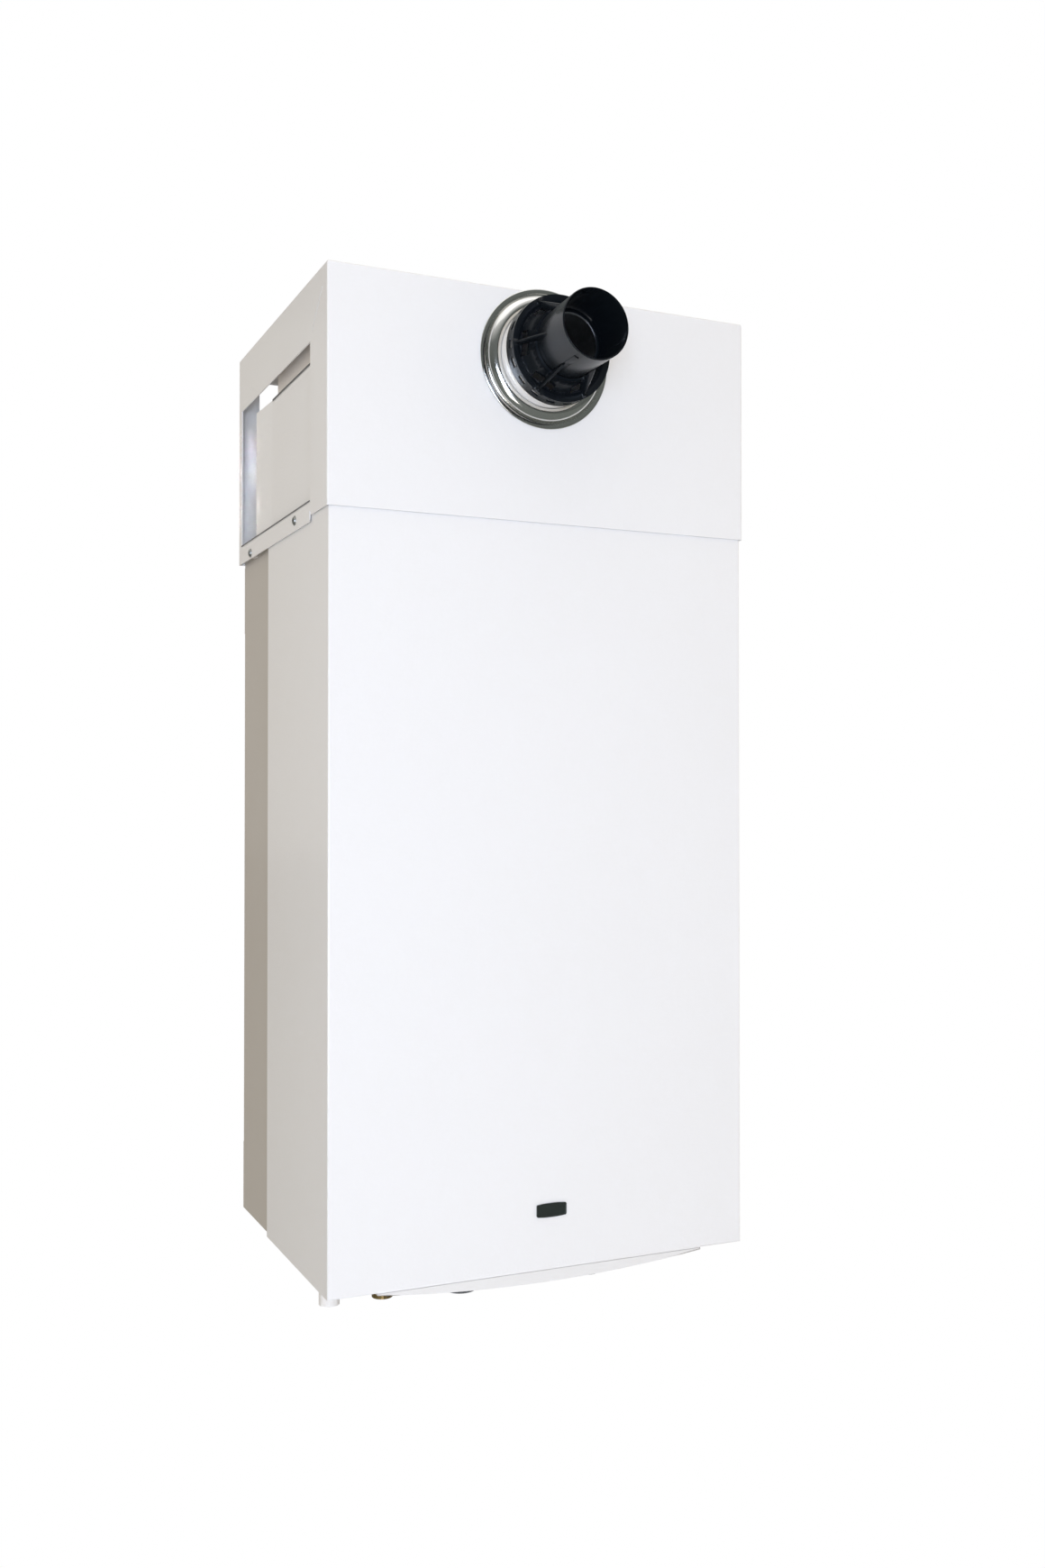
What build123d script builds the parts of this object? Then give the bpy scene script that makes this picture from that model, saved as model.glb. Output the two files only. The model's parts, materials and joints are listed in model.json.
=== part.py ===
from build123d import *
from math import sqrt
import os

os.makedirs("parts", exist_ok=True)

# An outdoor wall-hung boiler in millimetres: +X is the viewer's right, the front faces -Y, +Z is up.
# The origin is the middle of the back's bottom edge, on the wall.

# Body sizes
case_width = 450
overall_depth = 345
frame_depth = 123
case_top = 750
case_sheet = 1.2
case_bend = 2.0
case_lip = 14
front_y = -overall_depth
case_rear_y = -frame_depth
case_half = case_width / 2

# Rear frame sizes
frame_sheet = 1.5
frame_inset = 4.4
frame_top = 748
frame_reach = 15
frame_front_flange = 18
frame_rear_flange = 25
frame_half = case_half - frame_inset
frame_front_y = case_rear_y - frame_reach
fixing_span = 360
fixing_low = 60
fixing_rise = 640
fixing_hole_r = 4.5
rail_height = 75
rail_lip = 12

# Hood sizes
hood_gap = 1.0
hood_top = 968
hood_seam = 739
hood_skirt = 733
hood_flange = 23
hood_half = case_half + hood_gap + case_sheet
hood_front_y = front_y - hood_gap - case_sheet
skirt_front_y = front_y + 53
window_front_y = front_y + 55
window_rear_y = -12
window_low = 753
window_high = 907
infill_inset = 5
infill_rear_y = -70
infill_bend_y = -128
infill_flare = 2.6
infill_top = 891
stay_inset = 12.2

# Flue sizes
flue_x = -4
flue_z = 901.5
flue_y = -200
duct_r = 50
duct_wall = 1.5
inner_r = 30
inner_wall = 1.6
flue_bend = 75
slip = 0.3
ring_r = 70.3
ring_proud = 9.5
duct_end_y = hood_front_y - 36.8
collar_back_y = hood_front_y - 24.8
collar_front_y = collar_back_y - 16
collar_wall = 1.8
nozzle_r = 33
nozzle_wall = 1.5
nozzle_back_y = collar_front_y + 2
nozzle_stop_y = nozzle_back_y - 19
nozzle_step_y = nozzle_stop_y - 2
nozzle_front_y = collar_front_y - 74

# Water and gas connections, all on one line below the case
tail_margin = 51
tail_pitch = (case_half - tail_margin) / 3
tail_y = -182
tail_end = -60
heating_tail_r = 11
water_tail_r = 7.5
condensate_tail_r = 10.75
pipe_r = 9
lever_clear = 0.4
pump_x = 2 * tail_pitch

# Fits between a turning or sliding piece and what carries it
running_fit = 0.05
moving_gap = 0.4


def keep(piece, label):
    """Names a finished piece and writes it to its own file."""
    piece.label = label
    export_step(piece, f"parts/{label}.step")


def block(x0, x1, y0, y1, z0, z1, mode=Mode.ADD):
    """A rectangular body between three pairs of sides."""
    with Locations(((x0 + x1) / 2, (y0 + y1) / 2, (z0 + z1) / 2)):
        return Box(x1 - x0, y1 - y0, z1 - z0, mode=mode)


def drum(x, z, front, back, radius, mode=Mode.ADD):
    """A round body that lies along the depth of the boiler."""
    with Locations((x, (front + back) / 2, z)):
        return Cylinder(radius, back - front, rotation=(90, 0, 0), mode=mode)


def post(x, y, low, high, radius, mode=Mode.ADD):
    """A round body that stands upright."""
    with Locations((x, y, (low + high) / 2)):
        return Cylinder(radius, high - low, mode=mode)


def bar(y, z, left, right, radius, mode=Mode.ADD):
    """A round body that lies across the boiler."""
    with Locations(((left + right) / 2, y, z)):
        return Cylinder(radius, right - left, rotation=(0, 90, 0), mode=mode)


def radial_plane(x, z):
    """The plane of a turned profile about an axis along the depth: radius across, depth along."""
    return Plane(origin=(x, 0, z), x_dir=(1, 0, 0), z_dir=(0, 0, 1))


def depth_axis(x, z):
    """The axis along the depth through one point of the front view."""
    return Axis((x, 0, z), (0, 1, 0))


def bent_tube(points, bend, radius, wall):
    """A tube of one size along straight runs with a bend of one radius at each corner."""
    with BuildPart() as tube:
        with BuildLine() as route:
            FilletPolyline(*points, radius=bend)
        with BuildSketch(Plane(origin=route.line @ 0, z_dir=route.line % 0)):
            Circle(radius)
            Circle(radius - wall, mode=Mode.SUBTRACT)
        sweep()
    return tube.part


# The outer case: one folded sheet, open at the back, with a lip round the bottom opening
turret_notch_r = 66
fascia_screw_y = (front_y + 45, -245)
fascia_screw_x = case_half - case_lip / 2
screw_r = 2.1
screw_hole_r = screw_r + 0.15
band_screws = ((-54, 739), (front_y + 109, 743))

with BuildPart() as outer_case:
    with BuildSketch():
        with Locations((0, (front_y + case_rear_y) / 2)):
            Rectangle(case_width, overall_depth - frame_depth)
    extrude(amount=case_top)
    fillet(outer_case.faces().sort_by(Axis.Y)[0].edges(), radius=case_bend)
    offset(amount=-case_sheet, openings=outer_case.faces().sort_by(Axis.Y)[-1])
    with BuildSketch():
        with Locations((0, (front_y + case_lip + case_rear_y + 1) / 2)):
            Rectangle(case_width - 2 * case_lip, case_rear_y + 1 - front_y - case_lip)
        with GridLocations(2 * fascia_screw_x, fascia_screw_y[1] - fascia_screw_y[0], 2, 2):
            with Locations((0, sum(fascia_screw_y) / 2)):
                Circle(screw_hole_r)
    extrude(amount=case_sheet, mode=Mode.SUBTRACT)
    with BuildSketch(Plane.XY.offset(case_top)):
        with Locations((flue_x, flue_y)):
            Circle(turret_notch_r)
            with Locations((0, (case_rear_y - flue_y) / 2)):
                Rectangle(2 * turret_notch_r, case_rear_y - flue_y)
    extrude(amount=-2 * case_sheet, mode=Mode.SUBTRACT)
    lip_half = case_half - case_sheet
    block(-lip_half, lip_half, frame_front_y - frame_sheet - moving_gap, case_rear_y + 1, -1, case_sheet,
          mode=Mode.SUBTRACT)
    with Locations((0, band_screws[1][0], band_screws[1][1])):
        Cylinder(screw_hole_r, case_width + 2, rotation=(0, 90, 0), mode=Mode.SUBTRACT)
keep(outer_case.part, "outer_case")

# The blank badge: a small plate with bowed long sides and a raised rim
badge_width = 33
badge_height = 15.5
badge_bow = 1.2
badge_x = 4.5
badge_z = 58.5
badge_thick = 1.6
badge_rim = 0.9
badge_corner = 1.5
badge_plane = Plane(origin=(badge_x, front_y, badge_z), x_dir=(1, 0, 0), z_dir=(0, -1, 0))

with BuildPart() as badge_plate:
    half_width = badge_width / 2
    side_height = badge_height / 2 - badge_bow
    with BuildSketch(badge_plane) as badge_outline:
        with BuildLine():
            Line((-half_width, -side_height), (-half_width, side_height))
            ThreePointArc((-half_width, side_height), (0, badge_height / 2), (half_width, side_height))
            Line((half_width, side_height), (half_width, -side_height))
            ThreePointArc((half_width, -side_height), (0, -badge_height / 2), (-half_width, -side_height))
        make_face()
        fillet(badge_outline.vertices(), badge_corner)
    extrude(amount=badge_thick)
    with BuildSketch(badge_plane.offset(badge_thick)) as badge_field:
        with BuildLine():
            offset(badge_outline.sketch_local.wire(), amount=-badge_rim)
        make_face()
    extrude(amount=-0.5, mode=Mode.SUBTRACT)
keep(badge_plate.part, "badge_plate")

# The rear frame: two folded uprights joined by a hanging rail above and a foot rail below
boss_r = 6


def frame_side(side):
    """One folded upright with its flanges and the pressed boss that takes the hood's screw."""
    inner = frame_half - frame_sheet
    with BuildPart() as upright:
        with BuildSketch():
            with Locations((side * (inner + frame_half) / 2, (frame_front_y - frame_sheet) / 2)):
                Rectangle(frame_sheet, -frame_front_y - frame_sheet)
            with Locations((side * (frame_half - frame_front_flange / 2), frame_front_y - frame_sheet / 2)):
                Rectangle(frame_front_flange, frame_sheet)
            with Locations((side * (frame_half - frame_rear_flange / 2), -1.5 * frame_sheet)):
                Rectangle(frame_rear_flange, frame_sheet)
        extrude(amount=frame_top)
        boss_top = hood_half - case_sheet
        with Locations((side * (frame_half + boss_top) / 2, band_screws[0][0], band_screws[0][1])):
            Cylinder(boss_r, boss_top - frame_half, rotation=(0, 90, 0))
        with Locations((side * frame_half, band_screws[0][0], band_screws[0][1])):
            Cylinder(screw_hole_r, 20, rotation=(0, 90, 0), mode=Mode.SUBTRACT)
    return upright.part


keep(frame_side(-1), "frame_side_left")
keep(frame_side(1), "frame_side_right")


def frame_rail(low, hole_z, label):
    """A folded rail against the wall with two fixing holes."""
    high = low + rail_height
    lip_half = frame_half - frame_rear_flange - moving_gap
    with BuildPart() as rail:
        block(-frame_half, frame_half, -frame_sheet, 0, low, high)
        for edge in (low, high - frame_sheet):
            block(-lip_half, lip_half, -frame_sheet - rail_lip, -frame_sheet, edge, edge + frame_sheet)
        with Locations((-fixing_span / 2, 0, hole_z), (fixing_span / 2, 0, hole_z)):
            Cylinder(fixing_hole_r, 4 * frame_sheet, rotation=(90, 0, 0), mode=Mode.SUBTRACT)
    keep(rail.part, label)


frame_rail(fixing_low + fixing_rise - 45, fixing_low + fixing_rise, "frame_top_rail")
frame_rail(0, fixing_low, "frame_bottom_rail")

# The mounting plate: a folded sheet whose top shelf carries the flue and whose foot carries the tails
plate_half = frame_half - frame_sheet - 0.3
plate_front_y = frame_front_y
plate_back_y = plate_front_y + frame_sheet
shelf_z = 744
foot_z = 22.5
shelf_front_y = front_y + 17
foot_front_y = -222
flue_base_z = shelf_z + frame_sheet
vessel_pipe_x = 60
vessel_pipe_z = 215
vessel_pipe_r = 5
tail_slots = (-3, -2, -1, 0, 1, 2, 3)

with BuildPart() as mounting_plate:
    block(-plate_half, plate_half, plate_front_y, plate_back_y, foot_z, flue_base_z)
    block(-plate_half, plate_half, shelf_front_y, plate_front_y, shelf_z, flue_base_z)
    block(-plate_half, plate_half, foot_front_y, plate_front_y, foot_z, foot_z + frame_sheet)
    with Locations((flue_x, flue_y, shelf_z)):
        Cylinder(duct_r, 4 * frame_sheet, mode=Mode.SUBTRACT)
    with Locations(*[(slot * tail_pitch, tail_y, foot_z) for slot in tail_slots]):
        Cylinder(heating_tail_r + 1.5, 4 * frame_sheet, mode=Mode.SUBTRACT)
    with Locations((vessel_pipe_x, plate_front_y, vessel_pipe_z)):
        Cylinder(vessel_pipe_r + 3, 4 * frame_sheet, rotation=(90, 0, 0), mode=Mode.SUBTRACT)
    flange_edge = frame_half - frame_front_flange - slip
    for x0, x1 in ((-plate_half - 1, -flange_edge), (flange_edge, plate_half + 1)):
        block(x0, x1, plate_front_y - frame_sheet - slip, plate_front_y, foot_z - 1, flue_base_z + 1,
              mode=Mode.SUBTRACT)
keep(mounting_plate.part, "mounting_plate")

# The flue hood: a folded box over the top of the case, with a service window in its left side
notch_width = 3.2
notch_height = 4
slit_start = (front_y + 14, 948)
slit_end = (front_y + 48.5, 915.6)
slit_width = 1.1

with BuildPart() as flue_hood:
    with BuildSketch(Plane.XY.offset(hood_skirt)):
        with Locations((0, hood_front_y / 2)):
            Rectangle(2 * hood_half, -hood_front_y)
    extrude(amount=hood_top - hood_skirt)
    fillet(flue_hood.faces().sort_by(Axis.Y)[0].edges().filter_by(Axis.Z), radius=case_bend)
    fillet(flue_hood.faces().sort_by(Axis.Z)[-1].edges(), radius=case_bend)
    offset(amount=-case_sheet, openings=flue_hood.faces().sort_by(Axis.Z)[0])
    inner_half = hood_half - hood_flange
    block(-inner_half, inner_half, -case_bend - 1, 1, hood_skirt - 1, hood_top - hood_flange, mode=Mode.SUBTRACT)
    block(-hood_half - 1, hood_half + 1, hood_front_y - 1, skirt_front_y, hood_skirt - 1, hood_seam,
          mode=Mode.SUBTRACT)
    with Locations(*[(side * hood_half, skirt_front_y + notch_width / 2, hood_skirt) for side in (-1, 1)]):
        Box(4 * case_sheet, notch_width, 2 * (hood_seam - hood_skirt + notch_height), mode=Mode.SUBTRACT)
    block(-hood_half - 1, -hood_half + 4, window_front_y, window_rear_y, window_low, window_high,
          mode=Mode.SUBTRACT)
    with BuildSketch(Plane.YZ.offset(-hood_half)):
        with Locations(((slit_start[0] + slit_end[0]) / 2, (slit_start[1] + slit_end[1]) / 2)):
            slit_run = Vector(*slit_end) - Vector(*slit_start)
            Rectangle(slit_run.length, slit_width, rotation=-43.2)
    extrude(amount=2 * case_sheet, mode=Mode.SUBTRACT)
    for screw_y, screw_z in band_screws:
        bar(screw_y, screw_z, -hood_half - 1, -hood_half + 3, screw_hole_r, mode=Mode.SUBTRACT)
        bar(screw_y, screw_z, hood_half - 3, hood_half + 1, screw_hole_r, mode=Mode.SUBTRACT)
    drum(flue_x, flue_z, hood_front_y - 1, hood_front_y + 4, duct_r + 1, mode=Mode.SUBTRACT)
keep(flue_hood.part, "flue_hood")

# The infill plate that half closes the window, its rear end bent out a little and its ends folded in
infill_x = -hood_half + infill_inset
infill_fold = 6.8

with BuildPart() as window_infill:
    with BuildSketch(Plane.XY.offset(case_top)):
        with BuildLine():
            Polyline(
                (infill_x + infill_fold, window_front_y),
                (infill_x, window_front_y),
                (infill_x, infill_bend_y),
                (infill_x - infill_flare, infill_rear_y),
                (infill_x - infill_flare + case_sheet, infill_rear_y),
                (infill_x + case_sheet, infill_bend_y),
                (infill_x + case_sheet, window_front_y + case_sheet),
                (infill_x + infill_fold, window_front_y + case_sheet),
                close=True,
            )
        make_face()
    extrude(amount=infill_top - case_top)
    block(infill_x, infill_x + infill_fold - 3, window_front_y, infill_bend_y - 2, infill_top - case_sheet, infill_top)
keep(window_infill.part, "window_infill")


def hood_stay(side, label):
    """A folded stay that stands on the case and carries the hood's top."""
    outer = hood_half - stay_inset
    with BuildPart() as stay:
        x0, x1 = sorted((side * outer, side * (outer - case_sheet)))
        block(x0, x1, front_y + 12, case_rear_y - 1, case_top, hood_top - case_sheet)
        fold0, fold1 = sorted((side * outer, side * (outer - 14)))
        block(fold0, fold1, front_y + 12, case_rear_y - 1, case_top, case_top + case_sheet)
        block(fold0, fold1, front_y + 12, case_rear_y - 1, hood_top - 2 * case_sheet, hood_top - case_sheet)
    keep(stay.part, label)


hood_stay(-1, "hood_stay_left")
hood_stay(1, "hood_stay_right")

# Pan-head screws of the hood band and of the fascia
head_r = 4.25
head_height = 2.4
shank_length = 8


def pan_screw(plane):
    """One screw whose head sits on the plane and whose shank goes in below it."""
    with BuildPart() as screw:
        with BuildSketch(plane):
            Circle(head_r)
        extrude(amount=head_height)
        fillet(screw.faces().sort_by(Axis(plane.origin, plane.z_dir))[-1].edges(), radius=1.1)
        with BuildSketch(plane):
            Circle(screw_r)
        extrude(amount=-shank_length)
    return screw.part


fascia_flange = 2
screws = []
for side in (-1, 1):
    for screw_y, screw_z in band_screws:
        screws.append(pan_screw(Plane(origin=(side * hood_half, screw_y, screw_z), z_dir=(side, 0, 0))))
    for screw_y in fascia_screw_y:
        screws.append(pan_screw(Plane(origin=(side * fascia_screw_x, screw_y, -fascia_flange), z_dir=(0, 0, -1))))
keep(Compound(children=screws), "casing_screws")

# The control fascia: a moulded pan below the case whose front lip is the bowed chin
chin_half = 176
chin_depth = 12
fascia_rear_y = -225
fascia_wall = 2.5
fascia_wing = fascia_screw_x + 5
wing_front_y = front_y + case_lip - 2
knob_x = 70
knob_r = 17
knob_y = front_y + 57
shaft_r = 3
reset_x = chin_half - 48
reset_r = 7
gauge_r = 18.5
chin_rise = chin_depth - fascia_flange
chin_radius = (chin_half**2 + chin_rise**2) / (2 * chin_rise)


def belly_z(x):
    """The height of the pan's bowed underside below one place across the boiler."""
    return -chin_depth + chin_radius - sqrt(chin_radius**2 - x**2)


with BuildPart() as control_fascia:
    with BuildSketch(Plane(origin=(0, fascia_rear_y, 0), x_dir=(1, 0, 0), z_dir=(0, -1, 0))):
        with BuildLine():
            Polyline((chin_half, -fascia_flange), (chin_half, 0), (-chin_half, 0), (-chin_half, -fascia_flange))
            ThreePointArc((-chin_half, -fascia_flange), (0, -chin_depth), (chin_half, -fascia_flange))
        make_face()
    extrude(amount=fascia_rear_y - front_y)
    inner_half = chin_half - 30
    with BuildSketch(Plane(origin=(0, fascia_rear_y - fascia_wall, 0), x_dir=(1, 0, 0), z_dir=(0, -1, 0))):
        with BuildLine():
            inner_low = belly_z(inner_half) + fascia_wall
            Polyline((inner_half, inner_low), (inner_half, 1), (-inner_half, 1), (-inner_half, inner_low))
            ThreePointArc((-inner_half, inner_low), (0, fascia_wall - chin_depth), (inner_half, inner_low))
        make_face()
    extrude(amount=fascia_rear_y - front_y - 2 * fascia_wall, mode=Mode.SUBTRACT)
    block(-fascia_wing, -chin_half, wing_front_y, fascia_rear_y, -fascia_flange, 0)
    block(chin_half, fascia_wing, wing_front_y, fascia_rear_y, -fascia_flange, 0)
    with Locations(*[(side * fascia_screw_x, y, -1) for side in (-1, 1) for y in fascia_screw_y]):
        Cylinder(screw_hole_r, 8, mode=Mode.SUBTRACT)
    with Locations((-knob_x, knob_y, -chin_depth), (knob_x, knob_y, -chin_depth)):
        Cylinder(shaft_r + 0.6, 20, mode=Mode.SUBTRACT)
    with Locations((0, knob_y, -chin_depth)):
        Cylinder(gauge_r + slip, 20, mode=Mode.SUBTRACT)
    with Locations((reset_x, knob_y, -chin_depth)):
        Cylinder(reset_r + moving_gap, 20, mode=Mode.SUBTRACT)
keep(control_fascia.part, "control_fascia")


def turned(points, x=flue_x, z=flue_z):
    """A piece turned about an axis along the depth, from its half section in radius and depth."""
    with BuildPart() as piece:
        with BuildSketch(radial_plane(x, z)):
            with BuildLine():
                Polyline(*points, close=True)
            make_face()
        revolve(axis=depth_axis(x, z))
    return piece.part


# The flue: turret, elbow and duct outside, one bent pipe inside
turret_flange_r = 62
turret_rise = 80
elbow_low_z = flue_base_z + 14
elbow_end_y = flue_y - flue_bend - 10
spigot_seat_z = 690
socket_r = duct_r + slip

with BuildPart() as flue_turret:
    post(flue_x, flue_y, flue_base_z, flue_base_z + 3, turret_flange_r)
    post(flue_x, flue_y, flue_base_z, flue_base_z + turret_rise, socket_r + 2.5)
    bar(flue_y, flue_base_z + 45, flue_x, flue_x + 66, 9)
    post(flue_x, flue_y, flue_base_z - 1, flue_base_z + turret_rise + 1, socket_r, mode=Mode.SUBTRACT)
keep(flue_turret.part, "flue_turret")

elbow_points = [(flue_x, flue_y, elbow_low_z), (flue_x, flue_y, flue_z), (flue_x, elbow_end_y, flue_z)]
keep(bent_tube(elbow_points, flue_bend, duct_r, duct_wall), "flue_elbow")
inner_points = [(flue_x, flue_y, spigot_seat_z), (flue_x, flue_y, flue_z), (flue_x, nozzle_stop_y, flue_z)]
keep(bent_tube(inner_points, flue_bend, inner_r, inner_wall), "inner_flue")

duct_inner_r = duct_r - duct_wall
keep(turned([(duct_inner_r, elbow_end_y), (duct_r, elbow_end_y), (duct_r, duct_end_y),
             (duct_inner_r, duct_end_y)]), "flue_duct")

# The trim ring: a spun dish with a rolled outer bead, a groove and a broad rounded crown
crown_y = hood_front_y - ring_proud
with BuildPart() as flue_trim_ring:
    with BuildSketch(radial_plane(flue_x, flue_z)):
        with BuildLine():
            Line((socket_r, hood_front_y), (ring_r, hood_front_y))
            ThreePointArc((ring_r, hood_front_y), (ring_r - 1.6, hood_front_y - 3.6), (ring_r - 4, hood_front_y - 3.2))
            ThreePointArc((ring_r - 4, hood_front_y - 3.2), (ring_r - 11, crown_y), (socket_r, hood_front_y - 6))
            Line((socket_r, hood_front_y - 6), (socket_r, hood_front_y))
        make_face()
    revolve(axis=depth_axis(flue_x, flue_z))
keep(flue_trim_ring.part, "flue_trim_ring")

# The terminal cage: a collar over the duct, a dished front with air slots, and webs up to its neck
collar_r = socket_r + collar_wall
dish_r = 43
dish_y = collar_front_y + 3
neck_r = nozzle_r + 3
neck_base_y = collar_front_y - 9
neck_front_y = collar_front_y - 15
web_count = 6
slot_count = 18
web_front_y = neck_front_y - 22
hole_r = nozzle_r + slip

with BuildPart() as terminal_cage:
    add(turned([(socket_r, collar_back_y), (collar_r, collar_back_y), (collar_r, collar_front_y),
                (collar_r - 5, collar_front_y), (dish_r, dish_y), (neck_r, neck_base_y),
                (neck_r, neck_front_y), (hole_r, neck_front_y), (hole_r, neck_base_y + 2),
                (dish_r, dish_y + 2), (socket_r, collar_front_y + 3)]))
    with Locations(Plane(origin=(flue_x, (collar_back_y + collar_front_y) / 2 - 1, flue_z), z_dir=(0, -1, 0))):
        with PolarLocations(collar_r, slot_count, start_angle=10):
            Box(8, 9, 5, mode=Mode.SUBTRACT)
        with PolarLocations((dish_r + neck_r) / 2, web_count, start_angle=30):
            Box(4.5, 24, 40, mode=Mode.SUBTRACT)
    for turn in range(web_count):
        angle = turn * 360 / web_count
        with BuildSketch(radial_plane(flue_x, flue_z).rotated((0, angle, 0))):
            with BuildLine():
                Polyline((hole_r, web_front_y), (hole_r, neck_base_y), (dish_r, dish_y),
                         (collar_r - 3, collar_front_y), close=True)
            make_face()
        extrude(amount=1.1, both=True)
keep(terminal_cage.part, "terminal_cage")

# The terminal nozzle: the outlet tube with its socket, inner step and locating ribs
bore_r = nozzle_r - nozzle_wall
with BuildPart() as terminal_nozzle:
    add(turned([(inner_r + slip, nozzle_back_y), (nozzle_r, nozzle_back_y), (nozzle_r, nozzle_front_y + 1),
                (nozzle_r - 0.5, nozzle_front_y), (bore_r + 0.5, nozzle_front_y), (bore_r, nozzle_front_y + 1),
                (bore_r, nozzle_step_y), (inner_r - 2, nozzle_step_y), (inner_r - 2, nozzle_stop_y),
                (inner_r + slip, nozzle_stop_y)]))
    with Locations(Plane(origin=(flue_x, web_front_y - 15, flue_z), z_dir=(0, -1, 0))):
        with PolarLocations(nozzle_r, 3, start_angle=93):
            Box(2, 5, 20)
keep(terminal_nozzle.part, "terminal_nozzle")

# The heat exchanger: a drum with its flue spigot and water stubs, a burner and a cast door
core_x = -60
core_z = 560
core_r = 105
core_wall = 6
core_front_y = front_y + 55
core_back_y = -150
stub_reach = pump_x + core_x
stub_z = 462
stub_r = 12

with BuildPart() as exchanger_shell:
    drum(core_x, core_z, core_front_y, core_back_y, core_r)
    for rib_y in (core_front_y + 22, core_front_y + 50, core_back_y - 22):
        drum(core_x, core_z, rib_y - 3, rib_y + 3, core_r + 3)
    drum(core_x, core_z, core_back_y, plate_front_y, 60)
    post(flue_x, flue_y, core_z, spigot_seat_z + 28, inner_r + 4)
    for side in (-1, 1):
        post(core_x + side * stub_reach, tail_y, stub_z, core_z - 60, stub_r)
    post(core_x, tail_y - 23, 440, core_z - 95, 10)
    drum(core_x, core_z, core_front_y - 1, core_back_y - core_wall, core_r - core_wall, mode=Mode.SUBTRACT)
    post(flue_x, flue_y, core_z, spigot_seat_z + 30, inner_r - 2, mode=Mode.SUBTRACT)
    post(flue_x, flue_y, spigot_seat_z, spigot_seat_z + 30, inner_r + slip, mode=Mode.SUBTRACT)
keep(exchanger_shell.part, "exchanger_shell")

burner_r = 35
keep(turned([(burner_r - 2, core_front_y), (burner_r, core_front_y), (burner_r, core_front_y + 90),
             (0, core_front_y + 90), (0, core_front_y + 88), (burner_r - 2, core_front_y + 88)],
            core_x, core_z), "burner_tube")

door_thick = 12
manifold_depth = 30
manifold_r = 55
channel_half = 25
door_edge = 6
manifold_front_y = core_front_y - door_thick - manifold_depth
fan_x = case_half - 75
fan_z = 640
outlet_left = fan_x - 58
outlet_right = fan_x - 20
outlet_z = 562
scroll_front_y = front_y + 45
scroll_back_y = scroll_front_y + 44
port_back_y = scroll_back_y - 6
with BuildPart() as burner_door:
    drum(core_x, core_z, core_front_y - door_thick, core_front_y, core_r - 5)
    drum(core_x, core_z, manifold_front_y, core_front_y - door_thick, manifold_r)
    block(core_x, outlet_right, manifold_front_y, core_front_y - door_thick, core_z - channel_half,
          core_z + channel_half)
    block(outlet_left, outlet_right, core_front_y - door_thick, port_back_y, core_z - channel_half, outlet_z)
    with Locations(Plane(origin=(core_x, core_front_y - door_thick, core_z), z_dir=(0, -1, 0))):
        with PolarLocations(core_r - 18, 6, start_angle=30):
            Cylinder(6, 9, align=(Align.CENTER, Align.CENTER, Align.MIN))
    fillet(burner_door.faces().sort_by(Axis.Y)[0].edges(), radius=door_edge)
keep(burner_door.part, "burner_door")

# The fan: a scroll housing on the door's port, its motor in front and its bladed wheel inside
scroll_r = 52
scroll_wall = 2.5
motor_front_y = front_y + 7
wheel_r = 44
blade_count = 9

with BuildPart() as fan_housing:
    drum(fan_x, fan_z, scroll_front_y, scroll_back_y, scroll_r)
    block(outlet_left, outlet_right, scroll_front_y, scroll_back_y, outlet_z, fan_z)
    drum(fan_x, fan_z, scroll_front_y + scroll_wall, scroll_back_y - scroll_wall, scroll_r - scroll_wall,
         mode=Mode.SUBTRACT)
    block(outlet_left + scroll_wall, outlet_right - scroll_wall, scroll_front_y + scroll_wall,
          scroll_back_y - scroll_wall, outlet_z - 1, fan_z, mode=Mode.SUBTRACT)
    drum(fan_x, fan_z, scroll_back_y - 5, scroll_back_y + 1, 24, mode=Mode.SUBTRACT)
    drum(fan_x, fan_z, scroll_front_y - 1, scroll_front_y + 5, shaft_r + moving_gap, mode=Mode.SUBTRACT)
keep(fan_housing.part, "fan_housing")

with BuildPart() as fan_motor:
    drum(fan_x, fan_z, motor_front_y, scroll_front_y, 34)
    drum(fan_x, fan_z, scroll_front_y - 4, scroll_front_y, 41)
    drum(fan_x, fan_z, scroll_front_y - 20, scroll_front_y + 1, shaft_r + running_fit, mode=Mode.SUBTRACT)
keep(fan_motor.part, "fan_motor")

with BuildPart() as fan_impeller:
    drum(fan_x, fan_z, scroll_front_y + 4, scroll_front_y + 6, wheel_r)
    drum(fan_x, fan_z, scroll_front_y - 18, scroll_front_y + 18, shaft_r)
    with Locations(Plane(origin=(fan_x, scroll_front_y + 6, fan_z), z_dir=(0, 1, 0))):
        with PolarLocations(30, blade_count):
            Box(24, 1.6, 26, rotation=(0, 0, 35), align=(Align.CENTER, Align.CENTER, Align.MIN))
keep(fan_impeller.part, "fan_impeller")

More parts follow.
